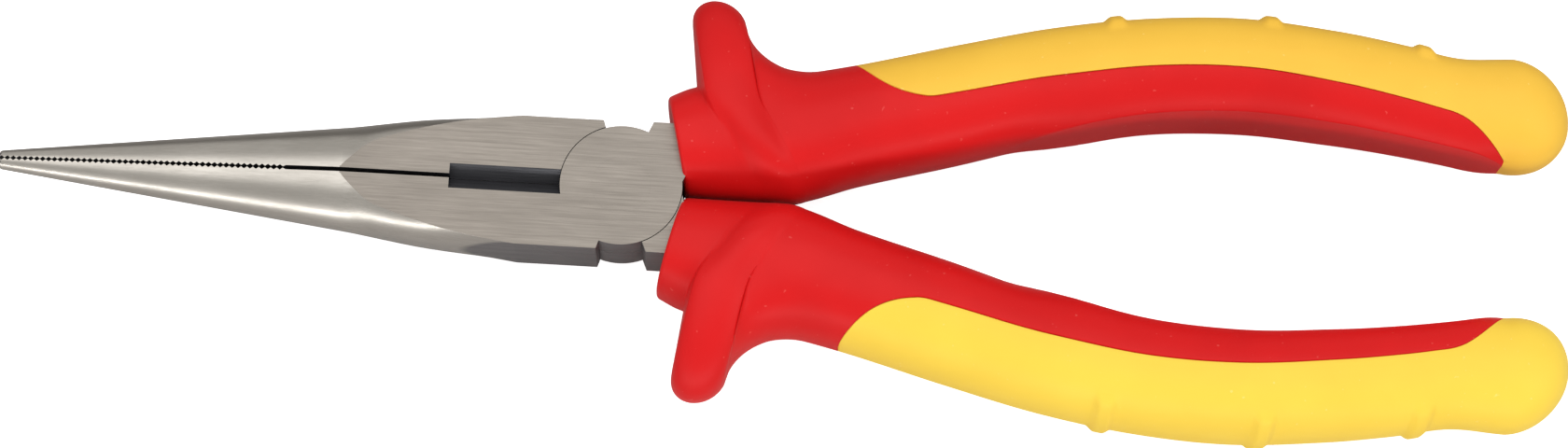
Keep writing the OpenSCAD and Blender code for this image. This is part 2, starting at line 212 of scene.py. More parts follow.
def add_camera():
    tilt = Matrix.Rotation(-VIEW_TILT, 3, "X")
    turn = Matrix.Rotation(VIEW_TURN, 3, "Y")
    roll = Matrix.Rotation(VIEW_ROLL, 3, "Z")
    view = tilt @ turn @ roll
    data = bpy.data.cameras.new("camera")
    data.lens = LENS
    data.sensor_width = 36.0
    data.clip_start = 0.01
    data.clip_end = 20.0
    camera = bpy.data.objects.new("camera", data)
    bpy.context.scene.collection.objects.link(camera)
    place = view.transposed() @ (Vector((0, 0, VIEW_DISTANCE)) - VIEW_OFFSET)
    camera.matrix_world = Matrix.Translation(place * MM + PIVOT) @ view.transposed().to_4x4()
    bpy.context.scene.camera = camera


# ---- The handles: one skin with collar, thumb guard, recess and ribs ----

def handle_inner(x):
    return np.maximum(THROAT_GAP / 2, INNER_REACH * curve(HANDLE_SHAPE, x / HANDLE_REACH, 1))


def handle_half_w(x):
    return GRIP_W / 2 * curve(HANDLE_SHAPE, x / HANDLE_REACH, 2)


def handle_half_d(x):
    return GRIP_D / 2 * curve(HANDLE_SHAPE, x / HANDLE_REACH, 3)


def handle_middle(x):
    return handle_inner(x) + handle_half_w(x)


COLLAR_TOP = float(handle_middle(np.array(COLLAR_X)) + handle_half_w(np.array(COLLAR_X)))
COLLAR_SLANT = 0.24
SLANT_FADE = 20.0
BULGE = 0.88
THINNEST = 0.02

# The inner side is flattened between these places
FLAT_SHARE = 0.2
FLAT_FROM = 0.4
FLAT_RUN = 0.1
FLAT_FADE = 6.0

# The ribs end on the faces at this angle from the outer side
RIB_TURN = 42.0
RIB_FADE = 14.0

GUARD_LEAN = 0.2
GUARD_MIDDLE = 8.0
GUARD_BODY_Y = 15.1
GUARD_U = GUARD_X + GUARD_LEAN * (GUARD_REACH - GUARD_BODY_Y)
GUARD_SQUARE = 0.92
GUARD_SPAN = 16.0
LEAN_EASE = 4.0
LEAN_END = 19.0
LEAN_FADE = 14.0
SWEEP_START = 13.0
SWEEP_SLOPE = 0.42
SWEEP_EASE = 3.0
SWEEP_RISE = 4.2
SWEEP_END = 15.0
SWEEP_FADE = 18.0

# The guard's front is steep, its back a hollow quarter round
FRONT_SLOPE = 14.0
LOW_SLOPE = 6.0
BACK_TOP = 3.2
BACK_END = 12.2
BACK_RUN = 9.0
BACK_RISE = 6.3
BACK_REACH = 8.8
BACK_SHARE = 0.98
BACK_FADE = 9.0
BACK_FADE_RUN = 5.0
FOOT_FRONT = 0.5
FOOT_BACK = 0.9
FOOT_HIGH = 0.6
LOW_REACH = 1.4
HIGH_RUN = 5.0
SETTLING_STEPS = 14


def cap_share(x):
    """How much of the full section is left in the round end."""
    return np.sqrt(np.maximum(0.0, 1 - share((x - CAP_X) / CAP_LEN) ** 2))


def rib_rise(x, phi):
    """Height of the cross ribs, which fade out towards the two faces."""
    rise = np.zeros_like(x)
    for place in RIBS:
        d = np.abs(x - place) / (RIB_W / 2)
        rise = np.maximum(rise, 1 - ease((d - RIB_TOP) / (1 - RIB_TOP)))
    away = np.abs((np.degrees(phi) + 180) % 360 - 180)
    return RIB_H * rise * (1 - ease((away - RIB_TURN) / RIB_FADE))


def body_section(x, phi, inset, ribbed):
    """Y and Z of the plain handle at x, before the slant and the guard."""
    c = np.cos(phi)
    s = cap_share(x)
    rise = rib_rise(x, phi) if ribbed else 0.0
    held = np.minimum(x, CAP_X)
    w = handle_half_w(held) * s - inset + rise
    d = handle_half_d(held) * s - inset + rise
    along = ease((x / HANDLE_REACH - FLAT_FROM) / FLAT_RUN) * ease((CAP_X - x) / FLAT_FADE)
    flat = 1 + FLAT_SHARE * along
    outer = w * np.maximum(c, 0) ** BULGE
    inner = -np.minimum(w, w * flat * np.maximum(-c, 0) ** BULGE)
    y = handle_middle(x) + np.where(c > 0, outer, inner)
    z = np.maximum(THINNEST, d) * signed_pow(np.sin(phi), BULGE)
    return y, z


def guard_sweep(y):
    """The guard's foot runs back towards the middle of the pliers."""
    w = np.maximum(0.0, SWEEP_START - y)
    return SWEEP_SLOPE * np.where(w < SWEEP_EASE, w * w / (2 * SWEEP_EASE), w - SWEEP_EASE / 2)


def soft_foot(height, fillet):
    """Keeps a height above zero and runs it out in a hollow of about the given size."""
    return (height + np.sqrt(height**2 + fillet**2)) / 2


def guard_height(du, reach):
    """Height of the guard above the handle at du along it, where its full height is reach."""
    r = GUARD_R
    dome = reach - r + np.sqrt(np.maximum(0.0, r * r - du * du))
    front = np.where(du < -r, reach - r - FRONT_SLOPE * (-du - r), dome)
    near = share((BACK_END - du) / BACK_RUN)
    hollow = 1 - np.sqrt(np.maximum(0.0, 1 - near**2))
    back = BACK_RISE * hollow / BACK_REACH * reach * BACK_SHARE
    high = np.where(du <= BACK_TOP, front, np.minimum(back, np.maximum(0.0, reach)))
    high = np.where(du < 0, soft_foot(high, FOOT_HIGH), np.maximum(high, 0))
    fillet = np.where(du < 0, FOOT_FRONT, FOOT_BACK)
    low = soft_foot(dome - np.maximum(0, np.abs(du) - r) * LOW_SLOPE, fillet)
    low = low / soft_foot(reach, fillet) * reach
    return mix(low, high, ease((reach - LOW_REACH) / HIGH_RUN))


def handle_skin(u, phi, inset, ribbed=False):
    """The handle's skin on slanted rings: u along it, phi round it from the outer side."""
    u, phi, inset = np.broadcast_arrays(u, phi, inset)
    edge_y = handle_middle(u) + handle_half_w(u)
    lean = mix(COLLAR_SLANT, GUARD_LEAN, ease((u - COLLAR_X) / LEAN_EASE))
    lean = mix(lean, 0.0, ease((u - LEAN_END) / LEAN_FADE))
    sweep = ease((u - COLLAR_X) / SWEEP_RISE) * (1 - ease((u - SWEEP_END) / SWEEP_FADE))
    own = u.copy()
    for _ in range(SETTLING_STEPS):
        y, z = body_section(own, phi, inset, ribbed)
        x = u + lean * (edge_y - y) + sweep * guard_sweep(y)
        slant = COLLAR_SLANT * (1 - ease((own - COLLAR_X) / SLANT_FADE))
        own = np.maximum(COLLAR_X - 1, 0.5 * own + 0.5 * (x - slant * (COLLAR_TOP - y)))
    c = np.cos(phi)
    outer = GUARD_REACH - GUARD_MIDDLE
    inner = GUARD_MIDDLE - THROAT_GAP / 2
    dy = GUARD_MIDDLE + np.where(c > 0, outer, inner) * signed_pow(c, GUARD_SQUARE) - y
    dz = GRIP_D / 2 * signed_pow(np.sin(phi), GUARD_SQUARE) - z
    reach = np.sqrt(dy * dy + dz * dz) + 1e-6
    near = (np.abs(u - GUARD_U) < GUARD_SPAN) & (inset < 0.5)
    h = np.where(near, guard_height(u - GUARD_U, reach), 0.0)
    h = h * (1 - ease((u - GUARD_U - BACK_FADE) / BACK_FADE_RUN)) / reach
    guarded_y = y + dy * h
    guarded_z = z + dz * h
    x = u + lean * (edge_y - guarded_y) + sweep * guard_sweep(guarded_y)
    return np.stack([x, guarded_y, guarded_z], -1)


EDGE_START = 92.0
EDGE_DRIFT = 14.0
EDGE_NOSE = 11.5
EDGE_CURL = 2.5
EDGE_LEAST = 2.0
EDGE_MOST = 172.0


def grip_edge(u):
    """Angle from the outer side at which the soft grip ends, in degrees."""
    nose = share((u - PAD_X) / EDGE_NOSE)
    far = share((u - WRAP_X) / (CAP_X - WRAP_X))
    drift = EDGE_DRIFT * share((u - PAD_X - EDGE_NOSE) / (WRAP_X - PAD_X - EDGE_NOSE))
    angle = EDGE_START * np.sqrt(np.maximum(0, 1 - (1 - nose) ** 2)) + drift
    angle = angle + (180 - EDGE_START - EDGE_DRIFT) * far**EDGE_CURL
    return np.clip(angle, EDGE_LEAST, EDGE_MOST)


STATION_GAP = 0.7
RIB_REACH = 0.62
RIB_CLEAR = 0.66


def grip_stations():
    """Places along the soft grip: close together at its round front and on the ribs."""
    turn = np.linspace(0.04, math.pi / 2, 42)
    front = PAD_X + EDGE_NOSE * (1 - np.cos(turn))
    plain = np.arange(PAD_X + EDGE_NOSE + 0.6, CORE_END - 0.2, STATION_GAP)
    fine = [r + d for r in RIBS for d in np.linspace(-RIB_REACH, RIB_REACH, 21) * RIB_W]
    clear = np.min([np.abs(plain - r) for r in RIBS], axis=0) > RIB_CLEAR * RIB_W
    return np.unique(np.round(np.concatenate([front, plain[clear], fine, [CORE_END]]), 4))


HARD_N = 104
SOFT_N = 56
EDGE_ROUND = 0.16
EDGE_HALF_W = 8.0
EDGE_TUCK = 0.9
CLOSE_ENDS = np.array([0.0015, 0.004, 0.008, 0.014])
CLOSE_LIMIT = 0.02
HARD_CREASE = 38


def edge_rounding(angle_in):
    """Inset that rounds an edge: angle_in is the angle from the edge, in degrees."""
    along = np.radians(angle_in) * EDGE_HALF_W
    s = share(1 - along / EDGE_ROUND)
    return EDGE_ROUND * (1 - np.sqrt(np.maximum(0.0, 1 - s * s)))


def spread(n):
    """Shares from 0 to 1 that lie closer together at both ends."""
    t = np.linspace(0, 1, n + 1)[1:-1]
    middle = t[(t > CLOSE_LIMIT) & (t < 1 - CLOSE_LIMIT)]
    return np.concatenate([[0], CLOSE_ENDS, middle, 1 - CLOSE_ENDS[::-1], [1]])


HARD_T = spread(HARD_N)
SOFT_T = spread(SOFT_N)


def sleeve_ring(u, lip=0.0, sunk=False):
    """One ring of the hard sleeve: its bare side, then the side or recess under the soft grip."""
    u = np.array(u)
    edge = grip_edge(u)
    hard_phi = mix(edge, 360 - edge, HARD_T)
    inset = np.full(len(HARD_T), lip)
    if sunk:
        from_edge = np.minimum(hard_phi - edge, 360 - edge - hard_phi)
        inset = inset + edge_rounding(from_edge)
    hard = handle_skin(u, np.radians(hard_phi), inset)
    end = max(edge - EDGE_TUCK, 1.0)
    soft_phi = mix(-end, end, SOFT_T)
    drop = lip + (PAD_T if sunk else 0.0)
    soft = handle_skin(u, np.radians(soft_phi), np.full(len(SOFT_T), drop))
    return np.concatenate([hard, soft])


def capped(points, faces, ring):
    """Closes both ends of a tube of rings with fans round a middle point."""
    points = list(points)
    for start, order in ((0, 1), (len(points) - ring, -1)):
        points.append(np.mean(points[start:start + ring], axis=0))
        middle = len(points) - 1
        for j in range(ring):
            pair = (start + j, start + (j + 1) % ring)[::order]
            faces.append((middle, pair[1], pair[0]))
    return points, faces


COLLAR_ROUND = 0.45
COLLAR_DROPS = (2.6, 1.2)
FLANK_LEN = 1.2
BACK_STATIONS = 12.4
BACK_STATIONS_RUN = 9.2
NECK_GAP = 0.5


def collar_rings():
    """The collar's open front, then its rounded edge."""
    rings = [sleeve_ring(COLLAR_X, drop) for drop in COLLAR_DROPS]
    for turn in np.linspace(0, math.pi / 2, 8):
        place = COLLAR_X + COLLAR_ROUND * (1 - math.cos(turn))
        rings.append(sleeve_ring(place, COLLAR_ROUND * (1 - math.sin(turn))))
    return rings


def guard_stations():
    """Places from the collar to the soft grip, close together where the thumb guard turns."""
    flank_from = GUARD_U - GUARD_R - FLANK_LEN
    quarter = math.pi / 2
    to_guard = np.linspace(COLLAR_X + COLLAR_ROUND + 0.35, flank_from - 0.3, 9)
    flank = np.linspace(flank_from, GUARD_U - GUARD_R, 14)
    dome = GUARD_U + GUARD_R * np.sin(np.linspace(-quarter, quarter, 33)[1:-1])
    back = GUARD_U + BACK_STATIONS - BACK_STATIONS_RUN * np.sin(np.linspace(quarter, 0, 30))
    neck = np.arange(GUARD_U + BACK_STATIONS + 0.5, PAD_X - 0.05, NECK_GAP)
    return np.unique(np.round(np.concatenate([to_guard, flank, dome, back, neck, [PAD_X]]), 4))


def make_sleeve(name, turned):
    """The hard sleeve, from its collar over the thumb guard to its end inside the soft bulb."""
    rows = collar_rings()
    rows += [sleeve_ring(u) for u in guard_stations()]
    rows += [sleeve_ring(u, sunk=True) for u in grip_stations()]
    ring = len(rows[0])
    faces = ring_faces(0, ring, len(rows))
    points, faces = capped(np.concatenate(rows), faces, ring)
    obj = build_mesh(name, points, faces, turned)
    set_smooth(obj, HARD_CREASE)
    return obj


PAD_SIDE_GAP = 0.3
PAD_EDGE_LEAST = 1.2
PAD_FIT = 0.06
PAD_TUCK = 1.2
PAD_TUCK_LEAST = 0.6
PAD_START = 0.02
PAD_START_RUN = 0.25
INNER_T = np.linspace(0, 1, 17)
BULB_SIDE_T = np.linspace(0, 1, 31)[1:-1]
BULB_STEPS = 26


def pad_edge(u):
    return max(grip_edge(u) - PAD_SIDE_GAP, PAD_EDGE_LEAST)


def pad_ring(u):
    """One ring of the soft pad: its ribbed outer skin, then its seat on the sleeve."""
    u = np.array(u)
    edge = pad_edge(u)
    phi = mix(-edge, edge, SOFT_T)
    inset = edge_rounding(edge - np.abs(phi))
    start = 1 - share((u - PAD_X - PAD_START) / PAD_START_RUN)
    inset = inset + EDGE_ROUND * start**2
    outer = handle_skin(u, np.radians(phi), inset, True)
    low = max(edge - PAD_TUCK, PAD_TUCK_LEAST)
    seat_phi = np.radians(mix(low, -low, INNER_T))
    seat = handle_skin(u, seat_phi, np.full(len(INNER_T), PAD_T - PAD_FIT))
    return np.concatenate([outer, seat])


def bulb_sides(u, edge):
    """The bulb's inner side at u, where it closes round the end of the sleeve."""
    phi = np.radians(mix(edge, 360 - edge, BULB_SIDE_T))
    return handle_skin(np.array(u), phi, np.zeros(len(BULB_SIDE_T)))


def bulb_ring(u, edge):
    phi = np.radians(mix(-edge, edge, SOFT_T))
    outer = handle_skin(np.array(u), phi, np.zeros(len(SOFT_T)), True)
    return np.concatenate([outer, bulb_sides(u, edge)])


def bulb_stations():
    turn = np.linspace(0, math.pi / 2, BULB_STEPS)[1:-1]
    return list(np.linspace(CORE_END, CAP_X, 4)[1:]) + list(CAP_X + CAP_LEN * np.sin(turn))


def make_grip(name, turned):
    """The soft pad and the bulb at the handle's end, in one."""
    stations = grip_stations()
    rows = [pad_ring(u) for u in stations]
    edge = pad_edge(stations[-1])
    ring = len(rows[0])
    points = list(np.concatenate(rows))
    faces = ring_faces(0, ring, len(rows))
    faces.append(tuple(range(ring))[::-1])

    last = ring * (len(rows) - 1)
    outer = list(range(last, last + len(SOFT_T)))
    seat = list(range(last + len(SOFT_T), last + ring))
    sides = list(range(len(points), len(points) + len(BULB_SIDE_T)))
    points.extend(bulb_sides(CORE_END, edge))
    faces.append(tuple([outer[-1]] + sides + [outer[0]] + seat[::-1]))

    loop = outer + sides
    count = len(loop)
    for u in bulb_stations():
        now = list(range(len(points), len(points) + count))
        points.extend(bulb_ring(u, edge))
        for j in range(count):
            k = (j + 1) % count
            faces.append((loop[j], loop[k], now[k], now[j]))
        loop = now
    tip_y = float(handle_middle(np.array(HANDLE_REACH)))
    points.append(np.array([HANDLE_REACH, tip_y, 0.0]))
    for j in range(count):
        faces.append((loop[j], loop[(j + 1) % count], len(points) - 1))
    obj = build_mesh(name, points, faces, turned)
    set_smooth(obj, HARD_CREASE)
    return obj


# ---- The forged halves ----

TAPER_BLEND = 11.0
TAPER_AHEAD = 3.5
NOSE_END = FULL_X - TAPER_AHEAD
NOSE_SLOPE = (HEAD_W - TIP_W) / 2 / (NOSE_END - TAPER_BLEND / 2 - TIP_X)
NOSE_STEPS = 36
NOSE_FROM = 1.2
NOSE_FULLNESS = 2.9
NOSE_CREST = 0.9976
CONE_GROWTH = 2 * FLATS_LEN / ROUND_LEN * (1 - TIP_T / HEAD_T)
FLATS_EASE = 0.2
FLATS_POWER = 2 / 3
FLATS_STEPS = 46
TIP_ROUND = 0.4
TIP_START = 0.86
TIP_SWELL = 0.14


def nose_half_w(x):
    if x < NOSE_END - TAPER_BLEND:
        return TIP_W / 2 + NOSE_SLOPE * (x - TIP_X)
    return HEAD_W / 2 - NOSE_SLOPE / (2 * TAPER_BLEND) * max(0.0, NOSE_END - x) ** 2


def flats_share(x):
    """Half width of the ground flats as a share of the nose's half width."""
    along = float(share((x - FLATS_X) / FLATS_LEN))
    return math.sqrt(mix(CONE_GROWTH * along, along**FLATS_POWER, float(ease(along / FLATS_EASE))))


def nose_ring(x):
    """Half a ring of the closed nose: straight along the seam, round outside, cut by the flats."""
    top = mix(TIP_T, HEAD_T, float(share((x - TIP_X) / ROUND_LEN))) / 2
    power = mix(2.0, NOSE_FULLNESS, float(ease((x - FLATS_X) / FLATS_LEN * 2)))
    reach = min((1 - flats_share(x) ** power) ** (1 / power), NOSE_CREST)
    near_tip = share((x - TIP_X) / TIP_ROUND)
    blunt = TIP_START + TIP_SWELL * math.sqrt(max(0.0, 1 - (1 - near_tip) ** 2))
    half_w = nose_half_w(x)
    ring = [(x, 0.0, top * blunt)]
    for i in range(NOSE_STEPS + 1):
        c = math.cos(math.pi * i / NOSE_STEPS)
        s = reach * c
        y = -half_w * (1 - abs(s) ** power) ** (1 / power) * blunt
        ring.append((x, y, top * c * blunt))
    ring.append((x, 0.0, -top * blunt))
    return ring


DISC_STEPS = 192
RIVET_STEPS = 96
RIVET_PLAY = 0.004
ROOT_FRONT = 0.4
ROOT_CHAMFER = 3.0
TANG_BLEND_LEN = 12.0
TANG_TAPER = 0.25
TANG_END = 2.0
STEEL_CREASE = 32


def prism(name, outline, low, high):
    """A flat plate with the given outline, from z = low to z = high."""
    n = len(outline)
    points = [(x, y, low) for x, y in outline] + [(x, y, high) for x, y in outline]
    faces = [tuple(range(n))[::-1], tuple(range(n, 2 * n))]
    faces += [(j, (j + 1) % n, n + (j + 1) % n, n + j) for j in range(n)]
    return raw_mesh(name, points, faces)


def raw_mesh(name, points, faces):
    """A closed mesh that is still in the lever's own millimetres."""
    mesh = bpy.data.meshes.new(name)
    mesh.from_pydata([tuple(map(float, p)) for p in points], [], faces)
    work = bmesh.new()
    work.from_mesh(mesh)
    bmesh.ops.recalc_face_normals(work, faces=work.faces)
    work.to_mesh(mesh)
    work.free()
    obj = bpy.data.objects.new(name, mesh)
    bpy.context.scene.collection.objects.link(obj)
    return obj


def loft(name, rings):
    """A closed solid through rings of the same number of points."""
    n = len(rings[0])
    points = [p for ring in rings for p in ring]
    faces = ring_faces(0, n, len(rings))
    faces.append(tuple(range(n))[::-1])
    faces.append(tuple(range(n * (len(rings) - 1), n * len(rings))))
    return raw_mesh(name, points, faces)


def circle(radius, steps):
    turn = [2 * math.pi * i / steps for i in range(steps)]
    return [(radius * math.cos(a), radius * math.sin(a)) for a in turn]


def disc(name, radius, low, high):
    return prism(name, circle(radius, DISC_STEPS), low, high)


def bake_modifiers(obj):
    bpy.context.view_layer.update()
    depsgraph = bpy.context.evaluated_depsgraph_get()
    result = bpy.data.meshes.new_from_object(obj.evaluated_get(depsgraph))
    obj.modifiers.clear()
    obj.data = result


def combine(base, tool, operation):
    """Joins, cuts or keeps what two closed meshes share, and removes the tool."""
    step = base.modifiers.new("step", "BOOLEAN")
    step.operation = operation
    step.object = tool
    step.solver = "EXACT"
    bake_modifiers(base)
    bpy.data.objects.remove(tool)
    return base


def crest(t):
    """Depth of a tooth's crest under the seam, a little more towards the relief."""
    return mix(SEAM_GAP / 2, RELIEF_W / 6, t)


def seam_cut():
    """Everything above the seam: teeth along the jaw, then the relief in front of the pocket."""
    far = TIP_X + TEETH * TOOTH_PITCH
    line = [(TIP_X - 1, 1.0), (TIP_X - 1, -SEAM_GAP / 2)]
    for i in range(TEETH):
        x = TIP_X + i * TOOTH_PITCH
        line.append((x, -crest(i / TEETH)))
        line.append((x + TOOTH_PITCH / 2, -crest(i / TEETH) - TOOTH_DEPTH))
    line += [(far, -crest(1)), (far + TOOTH_PITCH / 2, -RELIEF_W / 2)]
    line += [(POCKET_X, -RELIEF_W / 2), (POCKET_X, -SEAM_GAP / 2), (1, -SEAM_GAP / 2), (1, 1.0)]
    return prism("seam_cut", line, -HEAD_T, HEAD_T)


def cutter_cut(edge_z):
    """The pocket of the side cutter, which leaves a cutting edge at edge_z."""
    side = 1 if edge_z > 0 else -1
    face = side * FACE_Z
    wall = -CUTTER_W / 2
    profile = [(-SEAM_GAP / 2, edge_z), (wall, face), (wall, 2 * face), (1.0, 2 * face),
               (1.0, -2 * face), (wall, -2 * face), (wall, edge_z - side * KNIFE_LAND)]
    rings = [[(x, y, z) for y, z in profile] for x in (POCKET_X, 1.0)]
    return loft("cutter_cut", rings)


def tang_blend(x):
    """How far the tang has gone from the root's width to its own."""
    return ease(np.array((x - ROOT_END + ROOT_CHAMFER) / TANG_BLEND_LEN))


def tang_edge(x, side):
    """Inner (side -1) or outer (side 1) edge of the tang at x."""
    start = THROAT_GAP / 2 + WALL if side < 0 else ROOT_HALF
    end = handle_middle(np.array(float(x))) + side * TANG_W / 2
    return float(mix(start, end, tang_blend(x)))


def lever_root():
    """The shoulder behind the joint and the tang that the handle is moulded round."""
    front = DISC_R - ROOT_FRONT
    reach = ROOT_HALF / math.sin(HANDLE_SHOULDER)
    outline = [(0, SEAM_GAP / 2), (front, SEAM_GAP / 2), (front + 1, ROOT_INNER),
               (ROOT_END, ROOT_INNER), (ROOT_END, tang_edge(ROOT_END, 1)),
               (ROOT_END - ROOT_CHAMFER, ROOT_HALF),
               (reach * math.cos(HANDLE_SHOULDER), ROOT_HALF)]
    root = prism("root", outline, -FACE_Z, FACE_Z)
    rings = []
    for x in np.linspace(ROOT_END - 1, TANG_REACH, 40):
        narrow = 1 - TANG_TAPER * float(share((x - TANG_REACH + TANG_END) / TANG_END))
        low = tang_edge(x, -1)
        high = tang_edge(x, 1)
        middle = (low + high) / 2
        half = (high - low) / 2 * narrow
        z = TANG_W / 2 * narrow
        corners = ((-half, -z), (half, -z), (half, z), (-half, z))
        rings.append([(x, middle + y, z_corner) for y, z_corner in corners])
    return combine(root, loft("tang", rings), "UNION")


def rivet_profile(gap):
    """Radius and height of the rivet, or of its bore when there is a gap round it."""
    flare = RIVET_HEAD_R - RIVET_R
    over = 1.0 if gap > 0 else 0.0
    return [(RIVET_HEAD_R + gap + over, -FACE_Z - over), (RIVET_R + gap, -FACE_Z + flare),
            (RIVET_R + gap, FACE_Z - flare), (RIVET_HEAD_R + gap + over, FACE_Z + over)]


def turned_solid(name, profile):
    return loft(name, [[(x, y, z) for x, y in circle(r, RIVET_STEPS)] for r, z in profile])


def nose_places():
    """Places along the nose, close together at the tip and where the flats open."""
    places = list(np.linspace(TIP_X, TIP_X + TIP_ROUND, 7))
    places += list(np.arange(TIP_X + NOSE_FROM, FLATS_X, STATION_GAP))
    places += [mix(FLATS_X, FULL_X, (i / FLATS_STEPS) ** 1.6) for i in range(FLATS_STEPS + 1)]
    return places + [FULL_X + 2]


# Order of the four steel finishes on a half
FACE = 0
ROUND = 1
SIDE = 2
# The last finish is near-black steel, painted shade on the tooth faces and in the cutter's pocket
PAINTED_SHADE_FINISH = 3

LEVEL = 0.9995
LEVEL_NEAR = 0.003
UPRIGHT = 0.6
TEETH_NEAR = 0.6
POCKET_MARGIN = 0.05
POCKET_PAST_DISC = 0.6
SIDE_AHEAD = 0.3


def face_finish(centre, normal):
    """Which finish a steel face has: ground face, polished nose, forged side (darker, partly as
    painted shade), or near-black steel as painted shade on the tooth faces and in the cutter
    pocket.
    """
    x, y, z = centre
    if abs(normal.z) > LEVEL and abs(abs(z) - FACE_Z) < LEVEL_NEAR:
        return FACE
    in_jaw = x < POCKET_X - POCKET_MARGIN
    # Tooth faces along the seam and the pocket's walls take the near-black painted shade
    if in_jaw and abs(y) < TEETH_NEAR and abs(normal.x) + abs(normal.y) > UPRIGHT:
        return PAINTED_SHADE_FINISH
    in_pocket = not in_jaw and x < -DISC_R + POCKET_PAST_DISC
    if in_pocket and abs(y) < CUTTER_W / 2 + POCKET_MARGIN:
        return PAINTED_SHADE_FINISH
    if x < FULL_X - SIDE_AHEAD:
        return ROUND
    return SIDE


def into_place(obj, turned):
    """Moves a steel piece from its own millimetres to the joint, turned over for the rear."""
    flip = Matrix.Diagonal((1, -1, -1, 1)) if turned else Matrix.Identity(4)
    obj.data.transform(Matrix.Translation(PIVOT) @ Matrix.Scale(MM, 4) @ flip)
    obj.data.update()
    set_smooth(obj, STEEL_CREASE)


def make_half(name, edge_z, turned):
    """One forged half: nose, head, teeth, cutter, root, tang and its layer of the lap joint."""
    body = loft(name, [nose_ring(x) for x in nose_places()])
    reach = HEAD_W / 2 / math.sin(JAW_SHOULDER)
    plan = [(FULL_X, 0), (0, 0), (reach * math.cos(JAW_SHOULDER), -HEAD_W / 2),
            (FULL_X, -HEAD_W / 2)]
    combine(body, prism("head_plan", plan, -FACE_Z, FACE_Z), "UNION")
    combine(body, seam_cut(), "DIFFERENCE")
    combine(body, cutter_cut(edge_z), "DIFFERENCE")
    combine(body, lever_root(), "UNION")
    combine(body, disc("relief", DISC_R + DISC_GAP, -HEAD_T, LAP_GAP / 2), "DIFFERENCE")
    combine(body, disc("layer", DISC_R, LAP_GAP / 2, FACE_Z), "UNION")
    combine(body, turned_solid("bore", rivet_profile(RIVET_PLAY)), "DIFFERENCE")
    soften_edges(body)
    finish = [face_finish(p.center, p.normal) for p in body.data.polygons]
    body.data.polygons.foreach_set("material_index", finish)
    into_place(body, turned)
    split_finishes(body)
    return body


def split_finishes(obj):
    """Keeps the shading apart where two finishes meet, so that the ground faces stay flat."""
    work = bmesh.new()
    work.from_mesh(obj.data)
    for edge in work.edges:
        finishes = {f.material_index for f in edge.link_faces}
        if len(finishes) > 1 and FACE in finishes:
            edge.smooth = False
    work.to_mesh(obj.data)
    work.free()


BEVEL_W = 0.2
BEVEL_FROM = math.radians(40)
BEVEL_END_X = 9.0
LAP_BEVEL = 0.5
LAYER_BEVEL = 0.25
LAYER_NEAR = 0.15
LAYER_HALF_W = 6.9
SEAM_CLEAR = 0.9
BORE_CLEAR = 0.5
ON_FACE = 0.01
ON_LAP = 0.02
ON_RIM = 0.1
WELD = 1e-4


def soften_edges(obj):
    """A small even bevel on the outline edges of head, joint and pocket."""
    work = bmesh.new()
    work.from_mesh(obj.data)
    bmesh.ops.remove_doubles(work, verts=work.verts, dist=WELD)
    bmesh.ops.dissolve_degenerate(work, edges=work.edges, dist=WELD)
    work.normal_update()
    layer = work.edges.layers.float.new("bevel_weight_edge")
    for edge in work.edges:
        if len(edge.link_faces) != 2:
            continue
        middle = (edge.verts[0].co + edge.verts[1].co) / 2
        flat = all(abs(abs(v.co.z) - FACE_Z) < ON_FACE for v in edge.verts)
        sharp = edge.calc_face_angle(0) > BEVEL_FROM
        rim = math.hypot(middle.x, middle.y)
        on_lap = abs(middle.z - LAP_GAP / 2) < ON_LAP
        if sharp and on_lap and DISC_R - ON_RIM < rim < DISC_R + DISC_GAP + ON_RIM:
            edge[layer] = LAP_BEVEL
            continue
        if not sharp or not flat or middle.x > BEVEL_END_X:
            continue
        on_layer = abs(rim - DISC_R) < LAYER_NEAR and abs(middle.y) < LAYER_HALF_W
        if abs(middle.y) > SEAM_CLEAR and rim >= RIVET_HEAD_R + BORE_CLEAR:
            edge[layer] = LAYER_BEVEL if on_layer else 1.0
    work.to_mesh(obj.data)
    work.free()
    step = obj.modifiers.new("edges", "BEVEL")
    step.limit_method = "WEIGHT"
    step.width = BEVEL_W
    step.segments = 2
    step.use_clamp_overlap = True
    bake_modifiers(obj)


def make_rivet(name):
    obj = turned_solid(name, rivet_profile(0.0))
    into_place(obj, False)
    return obj


# ---- Materials ----

def new_material(name):
    material = bpy.data.materials.new(name)
    material.use_nodes = True
    return material, material.node_tree.nodes, material.node_tree.links


def effect_group(name, inputs, outputs):
    """A node group with the given inputs and outputs, which each material places with values."""
    group = bpy.data.node_groups.new(name, "ShaderNodeTree")
    for side, sockets in (("INPUT", inputs), ("OUTPUT", outputs)):
        for label, kind in sockets:
            group.interface.new_socket(label, in_out=side, socket_type=kind)
    return group, group.nodes.new("NodeGroupInput"), group.nodes.new("NodeGroupOutput")


def stretched_noise(nodes, links, stretch, detail, rough):
    """Noise in object space, drawn out by different amounts along X, Y and Z."""
    place = nodes.new("ShaderNodeTexCoord")
    mapping = nodes.new("ShaderNodeMapping")
    mapping.inputs["Scale"].default_value = stretch
    noise = nodes.new("ShaderNodeTexNoise")
    noise.inputs["Scale"].default_value = 1.0
    noise.inputs["Detail"].default_value = detail
    noise.inputs["Roughness"].default_value = rough
    links.new(place.outputs["Object"], mapping.inputs["Vector"])
    links.new(mapping.outputs["Vector"], noise.inputs["Vector"])
    return noise


def feed(links, socket, source):
    """Sets a socket to a number or colour, or links it to the output of another node."""
    if isinstance(source, bpy.types.NodeSocket):
        links.new(source, socket)
    elif isinstance(source, tuple):
        socket.default_value = (*source, 1.0)
    else:
        socket.default_value = source


